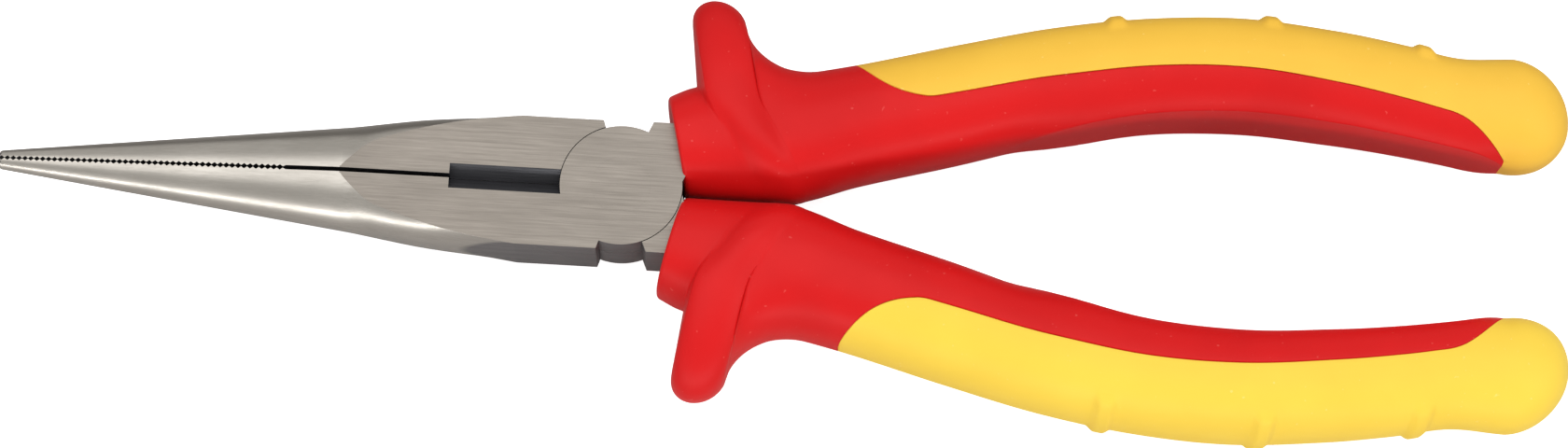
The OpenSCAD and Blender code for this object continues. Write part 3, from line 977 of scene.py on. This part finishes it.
def ranged(nodes, links, value, low, high, to_low=0.0, to_high=1.0, held=True):
    """Takes a value from one range to another."""
    step = nodes.new("ShaderNodeMapRange")
    step.clamp = held
    feed(links, step.inputs["Value"], value)
    feed(links, step.inputs["From Min"], low)
    feed(links, step.inputs["From Max"], high)
    feed(links, step.inputs["To Min"], to_low)
    feed(links, step.inputs["To Max"], to_high)
    return step.outputs["Result"]


def blend_colour(nodes, links, factor, first, second):
    step = nodes.new("ShaderNodeMix")
    step.data_type = "RGBA"
    feed(links, step.inputs["Factor"], factor)
    feed(links, step.inputs["A"], first)
    feed(links, step.inputs["B"], second)
    return step.outputs["Result"]


def joined(nodes, links, operation, first, second):
    """The sum or product of two values."""
    step = nodes.new("ShaderNodeMath")
    step.operation = operation
    links.new(first, step.inputs[0])
    links.new(second, step.inputs[1])
    return step.outputs["Value"]


def axes_of(nodes, links, space):
    """X, Y and Z of a place in the named space."""
    place = nodes.new("ShaderNodeTexCoord")
    split = nodes.new("ShaderNodeSeparateXYZ")
    links.new(place.outputs[space], split.inputs["Vector"])
    return split.outputs


# Dark and light tone of each finish, and its roughness in the dark and light lines
GROUND_TONES = ((0.215, 0.192, 0.168), (0.285, 0.257, 0.226))
GROUND_ROUGH = (0.46, 0.34)
NOSE_TONES = ((0.44, 0.412, 0.372), (0.555, 0.525, 0.48))
NOSE_ROUGH = (0.36, 0.28)
# The forged side's duller finish, kept darker partly as painted shade where the sides face the
# floor close under them
FORGED_AND_SHADED_TONES = ((0.185, 0.176, 0.178), (0.24, 0.231, 0.234))
SIDE_ROUGH = (0.5, 0.38)
# Near-black steel: painted shade in the gap between the teeth and in the cutter's pocket
PAINTED_SHADE_TONES = ((0.03, 0.03, 0.034), (0.085, 0.085, 0.094))
PAINTED_SHADE_ROUGH = (0.55, 0.4)
PAINTED_SHADE_METAL = 0.6
FACE_RELIEF = 0.3
NOSE_RELIEF = 0.2
RELIEF_DEPTH = 0.00002
STAIN_SHADE = 0.82
STAIN_SHARE = 0.35
CLOUD_SPAN = (0.35, 0.65)
WIDE_SPAN = (0.3, 0.7)
LINE_SPAN = (0.7, 1.3)
SPECK_SPAN = (0.75, 0.80)

# The border of the forged side, in millimetres
SIDE_BULGE = 6.0
SIDE_LEAD = 0.8
SIDE_SOFT = 0.7

# Main tone, drift and specks of each plastic
RED_TONES = ((0.665, 0.0085, 0.0095), (0.60, 0.0065, 0.0075), (0.8, 0.14, 0.12))
RED_ROUGH = (0.38, 0.48)
# One yellow plastic in two copies: the upper one darker and more orange as painted shade, the
# lower one lighter as painted light
SHADED_UPPER_YELLOW_TONES = ((0.90, 0.535, 0.060), (0.86, 0.50, 0.054), (1.0, 0.78, 0.3))
LIT_LOWER_YELLOW_TONES = ((0.93, 0.65, 0.073), (0.89, 0.61, 0.066), (1.0, 0.82, 0.35))
YELLOW_ROUGH = (0.44, 0.52)
PLASTIC_SPECULAR = 0.16
PLASTIC_SHEEN = 0.02
SHEEN_ROUGH = 0.4
SHEEN_TINT = (1.0, 0.75, 0.72, 1.0)
SPECK_SHARE = 0.35
SKIN_RELIEF = 0.12
SKIN_DEPTH = 0.00003


COLOUR = "NodeSocketColor"
VALUE = "NodeSocketFloat"


def grinding_group():
    """Fine grinding lines along the tool, in two tones, with darker stains between them."""
    group, given, out = effect_group(
        "grinding_lines",
        (("Dark", COLOUR), ("Light", COLOUR), ("Stain", COLOUR),
         ("Dark Rough", VALUE), ("Light Rough", VALUE)),
        (("Colour", COLOUR), ("Rough", VALUE), ("Tone", VALUE), ("Height", VALUE)))
    nodes, links = group.nodes, group.links
    fine = stretched_noise(nodes, links, (260.0, 9000.0, 9000.0), 4.0, 0.7)
    broad = stretched_noise(nodes, links, (60.0, 3400.0, 3400.0), 3.0, 0.6)
    cloud = stretched_noise(nodes, links, (90.0, 130.0, 130.0), 2.0, 0.5)
    height = joined(nodes, links, "ADD", fine.outputs["Fac"], broad.outputs["Fac"])
    tone = ranged(nodes, links, height, *LINE_SPAN)
    stain = ranged(nodes, links, cloud.outputs["Fac"], *CLOUD_SPAN, 0.0, STAIN_SHARE)
    dark_rough = given.outputs["Dark Rough"]
    light_rough = given.outputs["Light Rough"]
    colour = blend_colour(nodes, links, tone, given.outputs["Dark"], given.outputs["Light"])
    colour = blend_colour(nodes, links, stain, colour, given.outputs["Stain"])
    links.new(colour, out.inputs["Colour"])
    links.new(ranged(nodes, links, tone, 0.0, 1.0, dark_rough, light_rough), out.inputs["Rough"])
    links.new(tone, out.inputs["Tone"])
    links.new(height, out.inputs["Height"])
    return group


def moulding_group():
    """The fine texture of moulded plastic: a slow drift of colour and a few pale specks."""
    group, given, out = effect_group(
        "moulded_skin",
        (("Main", COLOUR), ("Drift", COLOUR), ("Speck", COLOUR),
         ("Low Rough", VALUE), ("High Rough", VALUE)),
        (("Colour", COLOUR), ("Rough", VALUE), ("Height", VALUE)))
    nodes, links = group.nodes, group.links
    cloud = stretched_noise(nodes, links, (55.0, 55.0, 55.0), 3.0, 0.55)
    grain = stretched_noise(nodes, links, (3800.0, 3800.0, 3800.0), 2.0, 0.5)
    speck = stretched_noise(nodes, links, (1500.0, 1500.0, 1500.0), 1.0, 0.4)
    drift = ranged(nodes, links, cloud.outputs["Fac"], *CLOUD_SPAN)
    specks = ranged(nodes, links, speck.outputs["Fac"], *SPECK_SPAN, 0.0, SPECK_SHARE)
    low_rough = given.outputs["Low Rough"]
    high_rough = given.outputs["High Rough"]
    rough = ranged(nodes, links, cloud.outputs["Fac"], *WIDE_SPAN, low_rough, high_rough)
    colour = blend_colour(nodes, links, drift, given.outputs["Main"], given.outputs["Drift"])
    colour = blend_colour(nodes, links, specks, colour, given.outputs["Speck"])
    links.new(colour, out.inputs["Colour"])
    links.new(rough, out.inputs["Rough"])
    links.new(grain.outputs["Fac"], out.inputs["Height"])
    return group


def side_group():
    """Where the polished round runs out into the forged side, in an arc that bulges forwards."""
    group, _, out = effect_group("side_border", (), (("Side", VALUE),))
    nodes, links = group.nodes, group.links
    axes = axes_of(nodes, links, "Object")
    up = ranged(nodes, links, axes["Z"], PIVOT.z, PIVOT.z + FACE_Z * MM, held=False)
    square = joined(nodes, links, "MULTIPLY", up, up)
    bulge = ranged(nodes, links, square, 0.0, 1.0, SIDE_BULGE * MM, 0.0)
    along = joined(nodes, links, "ADD", axes["X"], bulge)
    border = PIVOT.x + (FULL_X - SIDE_LEAD) * MM
    soft = SIDE_SOFT * MM
    links.new(ranged(nodes, links, along, border - soft, border + soft), out.inputs["Side"])
    return group


def shader_of(nodes):
    return nodes["Principled BSDF"]


def place_group(nodes, links, group, **given):
    """Places a group in a material with its own values, by the names of its inputs."""
    node = nodes.new("ShaderNodeGroup")
    node.node_tree = group
    for label, value in given.items():
        feed(links, node.inputs[label.replace("_", " ").title()], value)
    return node


def bump(nodes, links, height, strength, distance):
    step = nodes.new("ShaderNodeBump")
    step.inputs["Strength"].default_value = strength
    step.inputs["Distance"].default_value = distance
    links.new(height, step.inputs["Height"])
    return step.outputs["Normal"]


def steel(name, group, tones, roughs, relief, metallic=1.0, border=None):
    """Steel with grinding lines in two tones, which may run out into the forged side's darker
    tone, partly painted shade.
    """
    material, nodes, links = new_material(name)
    shader = shader_of(nodes)
    dark, light = tones
    lines = place_group(nodes, links, group, dark=dark, light=light,
                        stain=tuple(STAIN_SHADE * c for c in dark),
                        dark_rough=roughs[0], light_rough=roughs[1])
    colour = lines.outputs["Colour"]
    rough = lines.outputs["Rough"]
    if border:
        tone = lines.outputs["Tone"]
        side = place_group(nodes, links, border).outputs["Side"]
        # The forged side's darker tone, partly painted shade
        matt_and_shaded = blend_colour(nodes, links, tone, *FORGED_AND_SHADED_TONES)
        colour = blend_colour(nodes, links, side, colour, matt_and_shaded)
        step = nodes.new("ShaderNodeMix")
        links.new(side, step.inputs["Factor"])
        links.new(rough, step.inputs["A"])
        links.new(ranged(nodes, links, tone, 0.0, 1.0, *SIDE_ROUGH), step.inputs["B"])
        rough = step.outputs["Result"]
    normal = bump(nodes, links, lines.outputs["Height"], relief, RELIEF_DEPTH)
    links.new(colour, shader.inputs["Base Color"])
    links.new(rough, shader.inputs["Roughness"])
    links.new(normal, shader.inputs["Normal"])
    shader.inputs["Metallic"].default_value = metallic
    return material


def plastic(name, group, tones, roughs):
    """Satin moulded plastic with a slight drift of colour and a few specks."""
    material, nodes, links = new_material(name)
    shader = shader_of(nodes)
    main, drift, speck = tones
    skin = place_group(nodes, links, group, main=main, drift=drift, speck=speck,
                       low_rough=roughs[0], high_rough=roughs[1])
    normal = bump(nodes, links, skin.outputs["Height"], SKIN_RELIEF, SKIN_DEPTH)
    links.new(skin.outputs["Colour"], shader.inputs["Base Color"])
    links.new(skin.outputs["Rough"], shader.inputs["Roughness"])
    links.new(normal, shader.inputs["Normal"])
    shader.inputs["Specular IOR Level"].default_value = PLASTIC_SPECULAR
    shader.inputs["Sheen Weight"].default_value = PLASTIC_SHEEN
    shader.inputs["Sheen Roughness"].default_value = SHEEN_ROUGH
    shader.inputs["Sheen Tint"].default_value = SHEEN_TINT
    return material


# ---- Floor and light ----

FLOOR_HALF = 3.0
FLOOR_TONES = ((0.86, 0.86, 0.86), (0.9, 0.9, 0.9))
FLOOR_GLOW = 0.80

# What the floor throws back on the pliers: more from the near side than from the far side
BOUNCE_TONES = ((0.52, 0.505, 0.50), (0.10, 0.095, 0.09))
BOUNCE_NEAR_Y = -0.01
BOUNCE_FAR_Y = 0.06

WORLD_TONE = (1.0, 0.99, 0.97, 1.0)
WORLD_LEVEL = 0.78
WORLD_HIGH = 0.62
WORLD_HIGH_Z = 0.7


def add_stage():
    """A plain pale floor under the pliers."""
    low = CAD_BOX[0][2]
    corners = ((-1, -1), (1, -1), (1, 1), (-1, 1))
    points = [(FLOOR_HALF * x, FLOOR_HALF * y, low) for x, y in corners]
    mesh = bpy.data.meshes.new("floor")
    mesh.from_pydata(points, [], [(0, 1, 2, 3)])
    floor = bpy.data.objects.new("floor", mesh)
    bpy.context.scene.collection.objects.link(floor)
    material, nodes, links = new_material("pale_floor")
    shader = shader_of(nodes)
    cloud = stretched_noise(nodes, links, (3.0, 3.0, 3.0), 2.0, 0.5)
    tone = ranged(nodes, links, cloud.outputs["Fac"], *WIDE_SPAN)
    paper = blend_colour(nodes, links, tone, *FLOOR_TONES)
    axes = axes_of(nodes, links, "Object")
    far = ranged(nodes, links, axes["Y"], BOUNCE_NEAR_Y, BOUNCE_FAR_Y)
    bounce = blend_colour(nodes, links, far, *BOUNCE_TONES)
    seen = nodes.new("ShaderNodeLightPath").outputs["Is Camera Ray"]
    glow = ranged(nodes, links, seen, 0.0, 1.0, 0.0, FLOOR_GLOW)
    links.new(blend_colour(nodes, links, seen, bounce, paper), shader.inputs["Base Color"])
    links.new(glow, shader.inputs["Emission Strength"])
    shader.inputs["Emission Color"].default_value = (1, 1, 1, 1)
    shader.inputs["Roughness"].default_value = 0.9
    shader.inputs["Specular IOR Level"].default_value = 0.0
    mesh.materials.append(material)


def add_light(name, place, aim, size, power):
    data = bpy.data.lights.new(name, "AREA")
    data.shape = "RECTANGLE"
    data.size, data.size_y = size
    data.energy = power
    lamp = bpy.data.objects.new(name, data)
    lamp.location = place
    lamp.rotation_euler = (Vector(aim) - Vector(place)).to_track_quat("-Z", "Y").to_euler()
    bpy.context.scene.collection.objects.link(lamp)


def add_world():
    world = bpy.data.worlds.new("studio")
    bpy.context.scene.world = world
    world.use_nodes = True
    nodes, links = world.node_tree.nodes, world.node_tree.links
    axes = axes_of(nodes, links, "Generated")
    strength = ranged(nodes, links, axes["Z"], 0.0, WORLD_HIGH_Z, WORLD_LEVEL, WORLD_HIGH)
    links.new(strength, nodes["Background"].inputs["Strength"])
    nodes["Background"].inputs["Color"].default_value = WORLD_TONE


# ---- The build ----

add_camera()
add_stage()
add_world()
add_light("softbox", (-0.02, 0.12, 0.55), (0, 0, 0), (0.9, 0.5), 1.75)
add_light("side_strip", (-0.05, -0.5, 0.115), (-0.02, 0, 0), (0.9, 0.04), 1.2)
add_light("end_fill", (0.45, -0.1, 0.35), (0.02, 0, 0), (0.25, 0.4), 0.5)

lines = grinding_group()
skin = moulding_group()
ground = steel("ground_face", lines, GROUND_TONES, GROUND_ROUGH, FACE_RELIEF)
polished = steel("polished_nose", lines, NOSE_TONES, NOSE_ROUGH, NOSE_RELIEF, border=side_group())
# Forged side: a duller finish that is also darker as painted shade
forged = steel("forged_side_and_shade", lines, FORGED_AND_SHADED_TONES, SIDE_ROUGH, FACE_RELIEF)
# Near-black steel as painted shade for the gap between the teeth and the cutter's pocket
pocket_painted_shade = steel("pocket_and_teeth_painted_shade", lines, PAINTED_SHADE_TONES, PAINTED_SHADE_ROUGH, FACE_RELIEF, PAINTED_SHADE_METAL)
red = plastic("red_sleeve", skin, RED_TONES, RED_ROUGH)
# The upper grip's yellow carries painted shade, the lower grip's yellow painted light
shaded_upper_yellow = plastic("shaded_upper_yellow", skin, SHADED_UPPER_YELLOW_TONES, YELLOW_ROUGH)
lit_lower_yellow = plastic("lit_lower_yellow", skin, LIT_LOWER_YELLOW_TONES, YELLOW_ROUGH)

KNIFE_Z = FACE_Z - KNIFE_DEPTH
for piece_name, node, edge_z, turned, body in (
        ("front_forged_half", "front_half", KNIFE_Z, False, "front_lever"),
        ("rear_forged_half", "rear_half", -KNIFE_Z, True, "rear_lever")):
    piece = make_half(piece_name, edge_z, turned)
    for material in (ground, polished, forged, pocket_painted_shade):
        piece.data.materials.append(material)
    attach(piece, body)
    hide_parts(node)

rivet = make_rivet("flush_rivet")
rivet.data.materials.append(ground)
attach(rivet, "rear_lever")
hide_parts("joint_rivet")

# Each grip takes its own copy of the one yellow, with painted shade on the upper and painted light
# on the lower
for handle, turned, body, yellow_with_painted_light in (
        ("upper", False, "front_lever", shaded_upper_yellow),
        ("lower", True, "rear_lever", lit_lower_yellow)):
    sleeve = make_sleeve(handle + "_hard_sleeve", turned)
    sleeve.data.materials.append(red)
    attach(sleeve, body)
    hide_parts(handle + "_sleeve")
    grip = make_grip(handle + "_soft_grip", turned)
    grip.data.materials.append(yellow_with_painted_light)
    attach(grip, body)
    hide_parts(handle + "_grip")

bpy.context.scene.view_settings.view_transform = "Standard"
